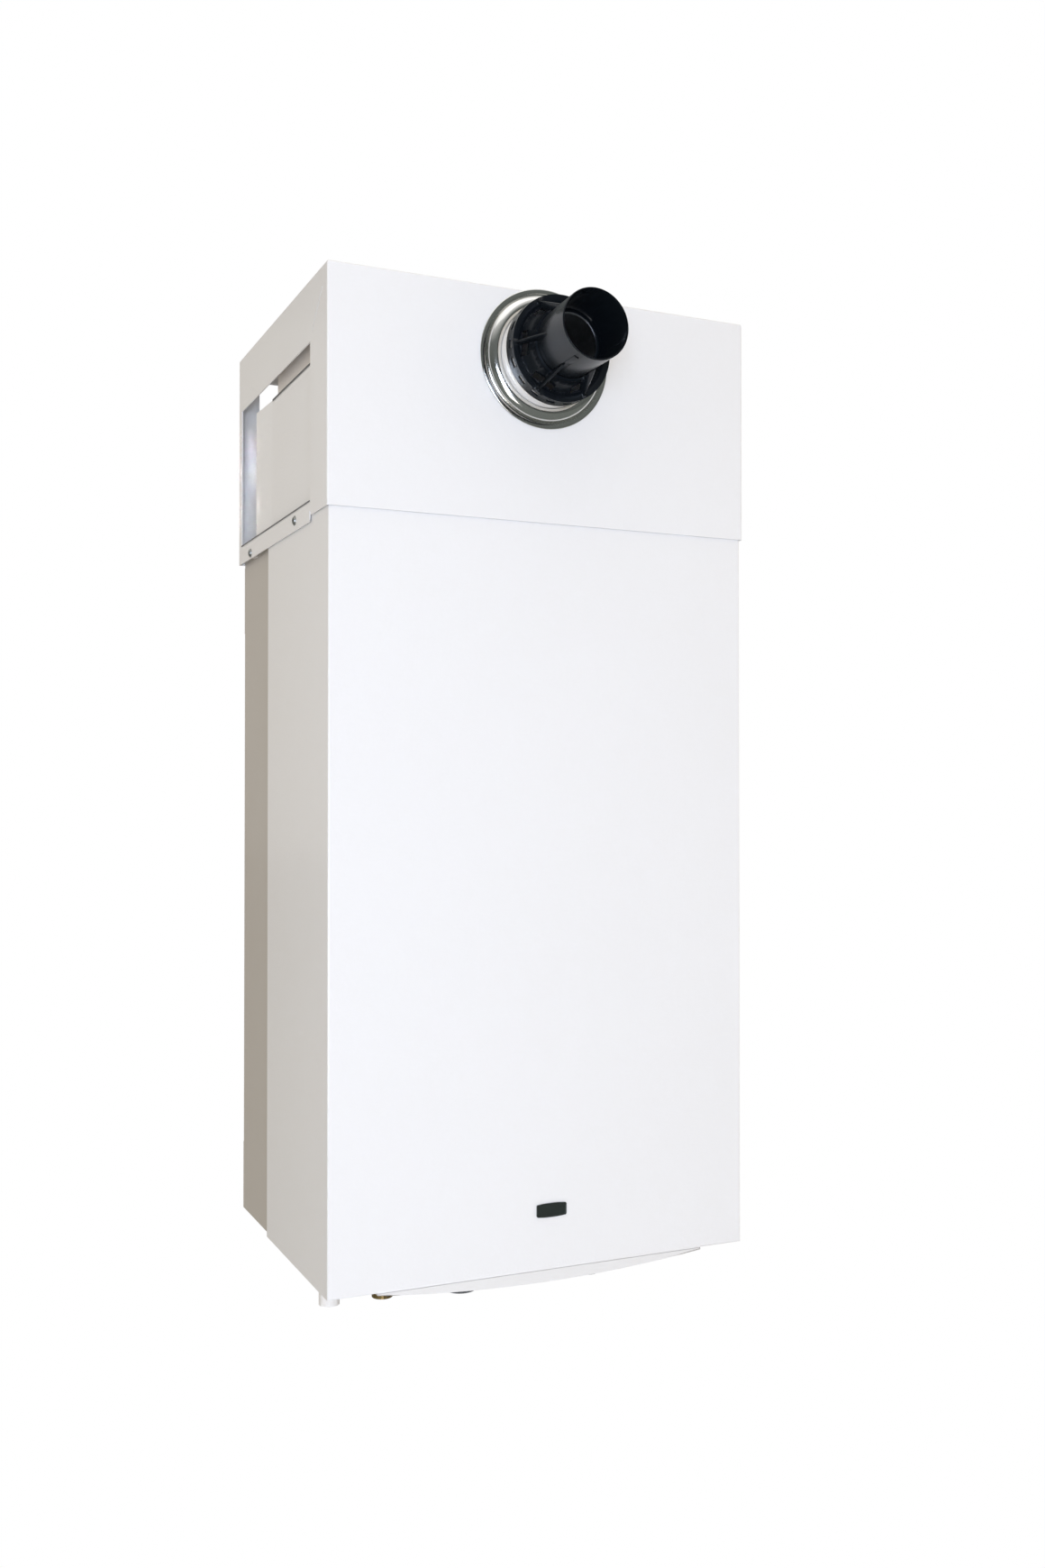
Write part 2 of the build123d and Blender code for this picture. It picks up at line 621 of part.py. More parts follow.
# The gas valve under the fan's inlet, with its mixing throat on top
valve_z = 606
valve_half = 32
valve_y = scroll_back_y + 25
valve_back_y = scroll_back_y + 52
inlet_y = scroll_back_y + 18
with BuildPart() as gas_valve:
    block(fan_x - valve_half, fan_x + valve_half, scroll_back_y + 0.5, valve_back_y, valve_z - 86, valve_z)
    fillet(gas_valve.edges().filter_by(Axis.Z), radius=4)
    for coil_z in (valve_z - 28, valve_z - 62):
        bar(valve_y, coil_z, fan_x + valve_half, fan_x + valve_half + 24, 15)
    post(fan_x, inlet_y, valve_z - 94, valve_z - 80, pipe_r)
keep(gas_valve.part, "gas_valve")
with BuildPart() as gas_mixer:
    drum(fan_x, fan_z, scroll_back_y, valve_back_y, 27)
    post(fan_x, valve_y, valve_z, fan_z - 20, 8)
    drum(fan_x, fan_z, scroll_back_y - 1, valve_back_y + 1, 19, mode=Mode.SUBTRACT)
    fillet(gas_mixer.edges().filter_by(GeomType.CIRCLE).group_by(Axis.Y)[-1], radius=3)
keep(gas_mixer.part, "gas_mixer")

# The expansion vessel: two pressed halves with a crimped rim, on a boss behind the mounting plate
vessel_z = 400
vessel_r = 150
vessel_wall = 1.8
charge_port_r = 4
keep(turned([(0, plate_back_y), (18, plate_back_y), (18, -112), (vessel_r - 30, -110), (vessel_r, -90),
             (vessel_r, -76), (vessel_r + 6, -76), (vessel_r + 6, -68), (vessel_r, -68), (vessel_r, -54),
             (vessel_r - 30, -34), (charge_port_r, -32), (charge_port_r, -32 - vessel_wall),
             (vessel_r - 31, -34 - vessel_wall), (vessel_r - vessel_wall, -55), (vessel_r - vessel_wall, -89),
             (vessel_r - 31, -110 + vessel_wall), (0, -112 + vessel_wall)], 0, vessel_z), "expansion_vessel")

# The water side: pump and its block on the right, flow block on the left, plate exchanger between them
block_back_y = -150
block_front_y = -215
block_low = 50
pump_z = 270
swirl_r = 48
rotor_r = 34
rotor_shaft_r = 4
plate_low = 90
plate_high = 150
pack_half = pump_x - 22
gas_run_y = -238

with BuildPart() as pump_body:
    block(pump_x - 19, pump_x + 19, block_front_y, block_back_y, block_low, pump_z - 46)
    drum(pump_x, pump_z, -205, block_back_y, swirl_r)
    drum(pump_x, pump_z, block_back_y, plate_front_y, 20)
    post(pump_x, tail_y, pump_z, pump_z + 56, stub_r)
    drum(pump_x, pump_z, -206, -165, rotor_r + 3, mode=Mode.SUBTRACT)
keep(pump_body.part, "pump_body")
with BuildPart() as pump_motor:
    drum(pump_x, pump_z, -290, -205, 44)
    drum(pump_x, pump_z, -240, -204, rotor_shaft_r + running_fit, mode=Mode.SUBTRACT)
    fillet(pump_motor.faces().sort_by(Axis.Y)[0].edges(), radius=5)
keep(pump_motor.part, "pump_motor")
with BuildPart() as pump_impeller:
    drum(pump_x, pump_z, -238, -175, rotor_shaft_r)
    drum(pump_x, pump_z, -204, -201, rotor_r)
    with Locations(Plane(origin=(pump_x, -201, pump_z), z_dir=(0, 1, 0))):
        with PolarLocations(20, 6):
            Box(22, 2, 12, rotation=(0, 0, 30), align=(Align.CENTER, Align.CENTER, Align.MIN))
keep(pump_impeller.part, "pump_impeller")

with BuildPart() as flow_block:
    block(-pump_x - 19, -pump_x + 19, block_front_y, block_back_y, block_low, 210)
    fillet(flow_block.edges().filter_by(Axis.Z), radius=5)
    drum(-pump_x, 130, block_back_y, plate_front_y, 15)
    drum(-pump_x, 130, -256, block_front_y, 20)
keep(flow_block.part, "flow_block")
with BuildPart() as plate_exchanger:
    block(2 - pack_half, pack_half - 2, -210, -160, plate_low + 3, plate_high - 3)
    for layer in range(7):
        block(-pack_half, pack_half, -212 + 8 * layer, -210 + 8 * layer, plate_low, plate_high)
    bar(tail_y, (plate_low + plate_high) / 2, -pump_x + 19, pump_x - 19, 10)
keep(plate_exchanger.part, "plate_exchanger")

with BuildPart() as flow_pipe:
    post(core_x - stub_reach, tail_y, 210, stub_z, pipe_r)
keep(flow_pipe.part, "flow_pipe")
return_points = [(pump_x, tail_y, pump_z + 56), (pump_x, tail_y, 400), (core_x + stub_reach, tail_y, 400),
                 (core_x + stub_reach, tail_y, stub_z)]
keep(bent_tube(return_points, 25, pipe_r, 1.2), "return_pipe")
gas_points = [(0, tail_y, 36), (0, tail_y, 62), (0, gas_run_y, 62), (0, gas_run_y, 350), (fan_x, inlet_y, 350),
              (fan_x, inlet_y, valve_z - 94)]
keep(bent_tube(gas_points, 20, pipe_r, 1.2), "gas_pipe")
hose_points = [(core_x, tail_y - 23, 440), (core_x, tail_y - 23, 412), (-3 * tail_pitch, tail_y - 23, 412),
               (-3 * tail_pitch, tail_y - 23, 200)]
keep(bent_tube(hose_points, 20, 8, 1.5), "condensate_hose")
vessel_pipe_top = vessel_z - sqrt((vessel_r + 6)**2 - (vessel_pipe_x - vessel_pipe_r)**2) - slip
vessel_points = [(vessel_pipe_x, -72, vessel_pipe_top), (vessel_pipe_x, -72, vessel_pipe_z),
                 (vessel_pipe_x, tail_y, vessel_pipe_z), (pump_x - 19, tail_y, vessel_pipe_z)]
keep(bent_tube(vessel_points, 14, vessel_pipe_r, 1), "vessel_pipe")

with BuildPart() as condensate_trap:
    post(-3 * tail_pitch, tail_y - 8, 60, 200, 26)
    post(-3 * tail_pitch, tail_y, tail_end, 62, condensate_tail_r)
    post(-3 * tail_pitch, tail_y, foot_z - 6, foot_z, condensate_tail_r + 8)
    block(-3 * tail_pitch - 9, -3 * tail_pitch + 9, -168, plate_front_y, 120, 145)
    fillet(condensate_trap.faces().filter_by(Axis.Z).group_by(Axis.Z)[-1].edges(), radius=4)
keep(condensate_trap.part, "condensate_trap")
with BuildPart() as hot_water_pipe:
    post(-tail_pitch, tail_y, tail_end, plate_low, water_tail_r)
    post(-tail_pitch, tail_y, foot_z - 6, foot_z, water_tail_r + 8)
keep(hot_water_pipe.part, "hot_water_pipe")
relief_z = 100
cap_base_x = case_half - 34.6
cap_end_x = case_half - 19
with BuildPart() as relief_valve:
    bar(tail_y, relief_z, pump_x + 19, cap_base_x - lever_clear, 11)
    post(3 * tail_pitch, tail_y, tail_end, relief_z, water_tail_r)
    post(3 * tail_pitch, tail_y, foot_z - 6, foot_z, water_tail_r + 8)
    bar(tail_y, relief_z, cap_base_x - lever_clear, cap_end_x - 6, 4)
keep(relief_valve.part, "relief_valve")
with BuildPart() as relief_cap:
    bar(tail_y, relief_z, cap_base_x, cap_end_x, 14)
    with Locations(Plane(origin=(cap_base_x, tail_y, relief_z), z_dir=(1, 0, 0))):
        with PolarLocations(15, 8):
            Cylinder(3, 40, mode=Mode.SUBTRACT)
    bar(tail_y, relief_z, cap_base_x - 1, cap_end_x - 5, 4 + running_fit, mode=Mode.SUBTRACT)
keep(relief_cap.part, "relief_cap")

# The isolating valves on the tails, each with a quarter-turn lever in front
lever_z = -14
lever_pivot_r = 4
valve_front_y = tail_y - 15
valves = {"flow_valve": (-2, heating_tail_r, block_low), "gas_cock": (0, heating_tail_r, 36),
          "cold_valve": (1, water_tail_r, plate_low), "return_valve": (2, heating_tail_r, block_low)}
for label, (slot, tail_r, top_z) in valves.items():
    x = slot * tail_pitch
    with BuildPart() as valve:
        post(x, tail_y, tail_end, top_z, tail_r)
        post(x, tail_y, -28, 0, 15)
        for nut_z in (-42, 2):
            with BuildSketch(Plane.XY.offset(nut_z)):
                with Locations((x, tail_y)):
                    RegularPolygon(tail_r + 6, 6)
            extrude(amount=14)
        post(x, tail_y, foot_z - 6, foot_z, 15)
        drum(x, lever_z, valve_front_y - 3, tail_y, 8)
        drum(x, lever_z, valve_front_y - 10, tail_y, lever_pivot_r)
    keep(valve.part, label)
    with BuildPart() as lever:
        with BuildSketch(Plane(origin=(x, valve_front_y - 3 - lever_clear, lever_z), x_dir=(1, 0, 0),
                               z_dir=(0, -1, 0))):
            Circle(8)
            with Locations((0, -20)):
                SlotOverall(40, 9, rotation=90)
            Circle(lever_pivot_r + running_fit, mode=Mode.SUBTRACT)
        extrude(amount=3)
    keep(lever.part, label.split("_")[0] + "_lever")

# The control housing above the fascia, and the knobs, button and gauge below it
housing_front_y = front_y + 7
housing_back_y = knob_y + 26
housing_half = chin_half - 26
board_y = knob_y - 12
board_thick = 1.6
housing_low = case_sheet
housing_high = 150
knob_top = belly_z(knob_x - knob_r) - moving_gap
knob_height = 15
shaft_top = 8

with BuildPart() as control_housing:
    block(-housing_half, housing_half, housing_front_y, housing_back_y, housing_low, housing_high)
    fillet(control_housing.edges().filter_by(Axis.Y), radius=6)
    block(3 - housing_half, housing_half - 3, housing_front_y + 3, housing_back_y - 3, housing_low + 3,
          housing_high - 3, mode=Mode.SUBTRACT)
    for side in (-1, 1):
        post(side * knob_x, knob_y, -5, housing_low + 3, 8)
        post(side * knob_x, knob_y, -6, shaft_top, shaft_r + running_fit, mode=Mode.SUBTRACT)
keep(control_housing.part, "control_housing")
with BuildPart() as control_board:
    chip_y = board_y + board_thick
    block(20 - housing_half, housing_half - 20, board_y, chip_y, housing_low + 3, housing_high - 3)
    block(-100, -60, chip_y, chip_y + 23.4, 60, 95)
    block(20, 60, chip_y, chip_y + 18.4, 50, 75)
keep(control_board.part, "control_board")

for side, label in ((-1, "heating_knob"), (1, "water_knob")):
    with BuildPart() as knob:
        post(side * knob_x, knob_y, knob_top - knob_height, knob_top, knob_r)
        fillet(knob.faces().sort_by(Axis.Z)[0].edges(), radius=2)
        with Locations(Plane.XY.offset(knob_top - knob_height).move(Location((side * knob_x, knob_y, 0)))):
            with PolarLocations(knob_r + 1, 12):
                Cylinder(2.2, 2 * knob_height - 8, mode=Mode.SUBTRACT)
            with Locations((0, -9, 0)):
                Box(2.4, 12, 1.6, mode=Mode.SUBTRACT)
        post(side * knob_x, knob_y, knob_top, shaft_top, shaft_r)
    keep(knob.part, label)

reset_low = belly_z(reset_x) - 4
reset_collar = belly_z(reset_x + reset_r + 2) + fascia_wall + moving_gap
with BuildPart() as reset_button:
    post(reset_x, knob_y, reset_low, reset_collar, reset_r)
    post(reset_x, knob_y, reset_collar, reset_collar + 1.6, reset_r + 2)
    fillet(reset_button.faces().sort_by(Axis.Z)[0].edges(), radius=1.2)
keep(reset_button.part, "reset_button")

with BuildPart() as pressure_gauge:
    post(0, knob_y, -chin_depth, 0.9, gauge_r)
    post(0, knob_y, -chin_depth - 2.5, -chin_depth, gauge_r + 2.5)
    post(0, knob_y, -chin_depth - 3, -6, gauge_r - 1.5, mode=Mode.SUBTRACT)
    post(0, knob_y, -11, -5, 1)
keep(pressure_gauge.part, "pressure_gauge")
with BuildPart() as gauge_needle:
    post(0, knob_y, -8.5, -7.3, 3)
    with Locations((0, knob_y - 5, -7.9)):
        Box(1.2, 18, 0.8)
    post(0, knob_y, -9, -7, 1 + running_fit, mode=Mode.SUBTRACT)
keep(gauge_needle.part, "gauge_needle")
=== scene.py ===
# %% [markdown]
# An outdoor boiler hangs on a house wall: a tall white sheet case, a hood over its top, and a short
# black flue terminal in a bright steel ring. The sizes are settled already in the imported frame, so this
# lesson is about looks. Everything is in metres, +X to the viewer's right, the front facing -Y, +Z up.

# %% Load the measured frame
import bpy
import bmesh
import json
from math import atan2, cos, hypot, pi, radians, sin
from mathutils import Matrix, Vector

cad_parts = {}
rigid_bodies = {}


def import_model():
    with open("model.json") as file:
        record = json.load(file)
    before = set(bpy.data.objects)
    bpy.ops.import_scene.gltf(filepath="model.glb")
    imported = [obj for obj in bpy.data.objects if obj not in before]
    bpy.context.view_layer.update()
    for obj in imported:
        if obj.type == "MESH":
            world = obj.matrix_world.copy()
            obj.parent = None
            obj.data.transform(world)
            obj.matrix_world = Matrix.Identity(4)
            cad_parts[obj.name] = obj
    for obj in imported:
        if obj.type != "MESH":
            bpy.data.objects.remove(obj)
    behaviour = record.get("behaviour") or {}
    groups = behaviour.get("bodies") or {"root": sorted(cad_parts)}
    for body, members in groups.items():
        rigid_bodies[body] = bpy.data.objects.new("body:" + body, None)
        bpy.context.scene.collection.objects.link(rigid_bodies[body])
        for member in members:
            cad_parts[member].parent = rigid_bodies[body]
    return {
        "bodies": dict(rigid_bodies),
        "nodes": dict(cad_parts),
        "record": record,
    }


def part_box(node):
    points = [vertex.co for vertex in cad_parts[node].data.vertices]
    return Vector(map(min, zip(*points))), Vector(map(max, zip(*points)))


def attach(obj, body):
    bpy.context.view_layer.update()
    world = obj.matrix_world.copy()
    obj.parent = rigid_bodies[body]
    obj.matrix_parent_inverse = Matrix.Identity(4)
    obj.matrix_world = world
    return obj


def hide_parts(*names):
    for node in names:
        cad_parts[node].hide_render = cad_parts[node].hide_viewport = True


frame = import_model()
nodes = frame["nodes"]
slot_of = {part["node"]: part["material_slot"] for part in frame["record"]["subparts"]}
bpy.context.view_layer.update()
MM = 0.001
MERGE = 0.000004  # metres: points nearer than this become one

# %% [markdown]
# The photograph is taken from the left of the boiler at about half its height, with a fairly wide lens.
# A camera keeps upright edges parallel when it looks level, so it is tilted by less than a degree.

# %% Place the camera
CAMERA_PLACE = (-0.620, -1.659, 0.462)
CAMERA_TURN = (radians(90.71), 0, radians(-24.3))
bpy.ops.object.select_all(action="DESELECT")
bpy.ops.object.camera_add(location=CAMERA_PLACE, rotation=CAMERA_TURN)
camera = bpy.context.object
camera.name = "photo_camera"
camera.data.lens = 33.6
camera.data.sensor_width = 36
bpy.context.scene.camera = camera
bpy.context.scene.view_settings.view_transform = "Standard"
print("lens", camera.data.lens, "mm")

# %% [markdown]
# Studio light for white sheet metal is mostly one soft source. A cool panel in front fills the face of the
# case, so the side that is turned away gets little but the sky's light and drops to a warm grey. A low panel
# shows only as a sheen, and a narrow beam reaches into the service window. The sky is split in three: the
# camera sees white paper, matt surfaces get a dimmer and warmer light, and bright metal mirrors a ramp from
# dark to light.

# %% Light the studio
COOL, CRISP, CLEAR, MILD = (0.71, 0.81, 1.0), (0.95, 0.97, 1.0), (1.0, 1.0, 1.0), (1.0, 0.98, 0.95)


def add_panel(name, place, aim, size, watts, tint):
    """A soft square light at one place that faces one point."""
    bpy.ops.object.light_add(type="AREA", location=place)
    panel = bpy.context.object
    panel.name = name
    panel.data.size = size
    panel.data.energy = watts
    panel.data.color = tint
    reach = [a - p for a, p in zip(aim, place)]
    tip = atan2(hypot(reach[0], reach[1]), -reach[2])
    swing = atan2(reach[1], reach[0]) - pi / 2
    panel.rotation_euler = (tip, 0, swing)
    return panel


def choose(tree, test, otherwise, chosen):
    """Gives one shader where a ray passes a test, and another elsewhere."""
    mix = tree.nodes.new("ShaderNodeMixShader")
    for socket, source in zip(mix.inputs, (test, otherwise, chosen)):
        tree.links.new(source, socket)
    return mix.outputs[0]


add_panel("front_panel", (-0.9, -2.6, 0.5), (0.0, -0.3, 0.45), 0.9, 33, COOL)
low_panel = add_panel("low_panel", (-0.76, -1.75, -0.10), (0.0, -0.35, 0.90), 0.7, 4.6, MILD)
low_panel.visible_diffuse = False
beam = add_panel("window_beam", (-1.10, -1.23, 0.83), (-0.213, -0.012, 0.83), 0.03, 0.012, CRISP)
beam.data.shape = "RECTANGLE"
beam.data.size_y = 0.14
beam.data.spread = radians(3)
beam.visible_camera = False
add_panel("top_panel", (-0.4, -0.6, 2.6), (0.0, -0.2, 0.5), 1.6, 4, CLEAR)
add_panel("back_panel", (-1.2, 1.9, 1.0), (0.0, -0.1, 0.5), 1.4, 2, MILD)

world = bpy.data.worlds.new("studio_paper")
bpy.context.scene.world = world
world.use_nodes = True
sky = world.node_tree
sky.nodes.clear()
paper = sky.nodes.new("ShaderNodeBackground")
paper.inputs["Color"].default_value = (1, 1, 1, 1)
bounce = sky.nodes.new("ShaderNodeBackground")
bounce.inputs["Color"].default_value = (1.0, 0.895, 0.757, 1)
bounce.inputs["Strength"].default_value = 0.72
gloss = sky.nodes.new("ShaderNodeBackground")
ray = sky.nodes.new("ShaderNodeLightPath")
height = sky.nodes.new("ShaderNodeSeparateXYZ")
sky.links.new(sky.nodes.new("ShaderNodeTexCoord").outputs["Generated"], height.inputs[0])
room = sky.nodes.new("ShaderNodeValToRGB")
stops = room.color_ramp.elements  # the last stop is white at 1 from the start
stops[0].color = (0.10, 0.11, 0.105, 1)
stops.new(0.45).color = (0.14, 0.155, 0.15, 1)
sky.links.new(height.outputs["Z"], room.inputs[0])
sky.links.new(room.outputs["Color"], gloss.inputs["Color"])
matt_or_bright = choose(sky, ray.outputs["Is Glossy Ray"], bounce.outputs[0], gloss.outputs[0])
lit_or_seen = choose(sky, ray.outputs["Is Camera Ray"], matt_or_bright, paper.outputs[0])
sky.links.new(lit_or_seen, sky.nodes.new("ShaderNodeOutputWorld").inputs[0])

# %% [markdown]
# Every finish here is more than a colour. Powder paint has a faint orange peel, rolled sheet has lines one
# way, castings are rough and mouldings finely grained, and outdoors all of them catch a little dust on top.
# Each effect is a node group that is made once. It gives out a colour, a roughness and a normal only, and
# the shader itself stays in the material where each finish can set it.

# %% Make the shared surface effects
CLOUD_SCALE, DUST_SCALE = 5.0, 38.0
CLOUD_SHADE, SPECK_SHADE, DUST_SHADE = (0.72, 0.71, 0.68), (0.8, 0.79, 0.77), (0.62, 0.58, 0.5)
GLOSS_DRIFT = 0.16
RELIEF_HEIGHT = 0.0004


def effect_group(name, inputs):
    """A node group with named inputs that gives out Colour, Roughness and Normal."""
    group = bpy.data.node_groups.new(name, "ShaderNodeTree")
    for label, kind, value in inputs:
        socket = group.interface.new_socket(label, in_out="INPUT", socket_type=kind)
        socket.default_value = value
    outputs = (("Colour", "NodeSocketColor"), ("Roughness", "NodeSocketFloat"), ("Normal", "NodeSocketVector"))
    for label, kind in outputs:
        group.interface.new_socket(label, in_out="OUTPUT", socket_type=kind)
    return group, group.nodes.new("NodeGroupInput"), group.nodes.new("NodeGroupOutput")


def feed(tree, socket, value):
    """Sets a socket to a number, or links it to another socket."""
    if isinstance(value, (int, float)):
        socket.default_value = value
    else:
        tree.links.new(value, socket)


def math_node(tree, operation, first, second):
    """One sum on two values or sockets."""
    node = tree.nodes.new("ShaderNodeMath")
    node.operation = operation
    feed(tree, node.inputs[0], first)
    feed(tree, node.inputs[1], second)
    return node.outputs[0]


def noise_node(tree, vector, scale, detail):
    """A cloud pattern on the given coordinates."""
    node = tree.nodes.new("ShaderNodeTexNoise")
    node.inputs["Detail"].default_value = detail
    tree.links.new(vector, node.inputs["Vector"])
    feed(tree, node.inputs["Scale"], scale)
    return node.outputs["Fac"]


def darken_node(tree, colour, mask, shade):
    """The colour moves towards a shade where the mask is high."""
    node = tree.nodes.new("ShaderNodeMix")
    node.data_type = "RGBA"
    node.blend_type = "MULTIPLY"
    tree.links.new(mask, node.inputs["Factor"])
    # inputs 6 and 7 are the two colours of the mix, and output 2 is the mixed colour
    tree.links.new(colour, node.inputs[6])
    node.inputs[7].default_value = (*shade, 1)
    return node.outputs[2]


def surface_effect(name, stretch_input, pattern):
    """Fine relief, cloudy tone, dust on upward faces and an uneven gloss, with one kind of fine pattern."""
    inputs = [("Base", "NodeSocketColor", (0.8, 0.8, 0.8, 1)), ("Gloss Loss", "NodeSocketFloat", 0.3),
              ("Scale", "NodeSocketFloat", 400.0), ("Depth", "NodeSocketFloat", 0.1),
              ("Cloud", "NodeSocketFloat", 0.2), ("Dust", "NodeSocketFloat", 0.2)]
    if stretch_input:
        inputs.append(("Stretch", "NodeSocketVector", (1, 1, 1)))
    group, given, put = effect_group(name, inputs)
    links = group.links
    place = group.nodes.new("ShaderNodeTexCoord").outputs["Object"]
    fine_place = place
    if stretch_input:
        pull = group.nodes.new("ShaderNodeVectorMath")
        pull.operation = "MULTIPLY"
        links.new(place, pull.inputs[0])
        links.new(given.outputs["Stretch"], pull.inputs[1])
        fine_place = pull.outputs[0]
    if pattern == "pits":
        cells = group.nodes.new("ShaderNodeTexVoronoi")
        links.new(fine_place, cells.inputs["Vector"])
        links.new(given.outputs["Scale"], cells.inputs["Scale"])
        fine = cells.outputs["Distance"]
    else:
        fine = noise_node(group, fine_place, given.outputs["Scale"], 3)
    cloud = noise_node(group, place, CLOUD_SCALE, 4)
    tone = math_node(group, "MULTIPLY", cloud, given.outputs["Cloud"])
    colour = darken_node(group, given.outputs["Base"], tone, CLOUD_SHADE)
    speck = math_node(group, "MULTIPLY", fine, math_node(group, "MULTIPLY", given.outputs["Cloud"], 0.5))
    colour = darken_node(group, colour, speck, SPECK_SHADE)
    facing = group.nodes.new("ShaderNodeSeparateXYZ")
    links.new(group.nodes.new("ShaderNodeNewGeometry").outputs["Normal"], facing.inputs[0])
    upward = math_node(group, "MAXIMUM", facing.outputs["Z"], 0.0)
    lying = math_node(group, "MULTIPLY", upward, noise_node(group, place, DUST_SCALE, 5))
    drift = math_node(group, "MULTIPLY", lying, given.outputs["Dust"])
    colour = darken_node(group, colour, drift, DUST_SHADE)
    links.new(colour, put.inputs["Colour"])
    spread = math_node(group, "MULTIPLY", math_node(group, "SUBTRACT", cloud, 0.5), GLOSS_DRIFT)
    gloss = math_node(group, "ADD", math_node(group, "ADD", given.outputs["Gloss Loss"], spread), drift)
    links.new(gloss, put.inputs["Roughness"])
    relief = group.nodes.new("ShaderNodeBump")
    relief.inputs["Distance"].default_value = RELIEF_HEIGHT
    links.new(given.outputs["Depth"], relief.inputs["Strength"])
    links.new(fine, relief.inputs["Height"])
    links.new(relief.outputs["Normal"], put.inputs["Normal"])
    return group


effects = {
    "film": surface_effect("powder_film", False, "cloud"),
    "rolled": surface_effect("rolled_lines", True, "cloud"),
    "cast": surface_effect("cast_pits", False, "pits"),
}
print("effects:", ", ".join(group.name for group in effects.values()))

# %% [markdown]
# A table keeps the finishes readable: which effect, the colour, how much gloss is lost, whether it is metal,
# how fine and deep the relief is, and how cloudy and dusty the piece looks. The white coat is clean, with a
# fine peel. The zinc sheet is streaky along its rolling direction. The castings are pitted.

# %% Mix one material for each finish
finishes = {
    # slot: effect, colour, gloss loss, metal, scale, depth, cloud, dust, coat
    "case_white": ("film", (0.90, 0.915, 0.94), 0.36, 0, 350, 0.55, 0.12, 0.10, 0.2),
    # the stay's cream is set lighter than the case white: painted light for the shaded recess it stands in
    "stay_cream": ("film", (0.95, 0.91, 0.87), 0.40, 0, 900, 0.12, 0.10, 0.15, 0.1),
    "frame_grey": ("film", (0.58, 0.555, 0.52), 0.46, 0, 700, 0.18, 0.25, 0.2, 0.1),
    "zinc_sheet": ("rolled", (0.66, 0.68, 0.70), 0.36, 1, 220, 0.25, 0.35, 0.3, 0),
    # this white is set lighter than the case white: painted light for the duct's shaded crescent between trim
    # ring and collar
    "duct_white": ("film", (0.97, 0.975, 0.98), 0.30, 0, 800, 0.08, 0.03, 0.1, 0.3),
    "ring_steel": ("rolled", (0.80, 0.79, 0.76), 0.12, 1, 300, 0.06, 0.10, 0.05, 0),
    "inner_steel": ("rolled", (0.74, 0.74, 0.74), 0.30, 1, 260, 0.2, 0.2, 0.1, 0),
    "cast_alloy": ("cast", (0.62, 0.63, 0.64), 0.52, 1, 900, 0.5, 0.3, 0.2, 0),
    "terminal_black": ("cast", (0.007, 0.0095, 0.013), 0.22, 0, 1500, 0.06, 0.3, 0.3, 0.1),
    "badge_black": ("film", (0.018, 0.024, 0.022), 0.16, 0, 900, 0.03, 0.1, 0.1, 0.6),
    "screw_zinc": ("rolled", (0.50, 0.50, 0.48), 0.34, 1, 300, 0.15, 0.3, 0.3, 0),
    "fascia_grey": ("cast", (0.84, 0.85, 0.86), 0.42, 0, 1800, 0.15, 0.1, 0.15, 0.1),
    "black_plastic": ("cast", (0.035, 0.036, 0.04), 0.50, 0, 1600, 0.3, 0.3, 0.3, 0),
    "knob_grey": ("cast", (0.10, 0.105, 0.115), 0.44, 0, 1800, 0.25, 0.2, 0.2, 0.1),
    "button_red": ("cast", (0.52, 0.03, 0.02), 0.32, 0, 1500, 0.1, 0.15, 0.15, 0.3),
    "motor_paint": ("film", (0.05, 0.055, 0.065), 0.42, 0, 500, 0.3, 0.3, 0.3, 0.1),
    "vessel_red": ("film", (0.46, 0.022, 0.016), 0.26, 0, 420, 0.25, 0.25, 0.3, 0.4),
    "plate_steel": ("rolled", (0.70, 0.70, 0.68), 0.30, 1, 260, 0.2, 0.2, 0.2, 0),
    "cast_brass": ("cast", (0.62, 0.43, 0.19), 0.36, 1, 900, 0.35, 0.3, 0.25, 0),
    "copper_tube": ("rolled", (0.72, 0.36, 0.22), 0.26, 1, 240, 0.1, 0.4, 0.2, 0),
    "hose_grey": ("cast", (0.16, 0.165, 0.17), 0.6, 0, 1200, 0.2, 0.2, 0.3, 0),
    "board_green": ("film", (0.02, 0.16, 0.06), 0.35, 0, 600, 0.1, 0.2, 0.1, 0.3),
    "lever_black": ("film", (0.03, 0.03, 0.034), 0.36, 0, 700, 0.2, 0.2, 0.3, 0.2),
    "lever_yellow": ("film", (0.75, 0.50, 0.02), 0.34, 0, 700, 0.2, 0.2, 0.3, 0.2),
    "gauge_black": ("cast", (0.028, 0.028, 0.032), 0.3, 0, 1500, 0.1, 0.2, 0.2, 0.3),
    "needle_red": ("film", (0.6, 0.03, 0.02), 0.4, 0, 900, 0.05, 0.1, 0.1, 0),
}
stretch_of = {"zinc_sheet": (6, 6, 0.3), "ring_steel": (1, 3, 1), "inner_steel": (3, 3, 1),
              "screw_zinc": (1, 1, 6), "plate_steel": (0.4, 4, 4), "copper_tube": (4, 4, 0.5)}


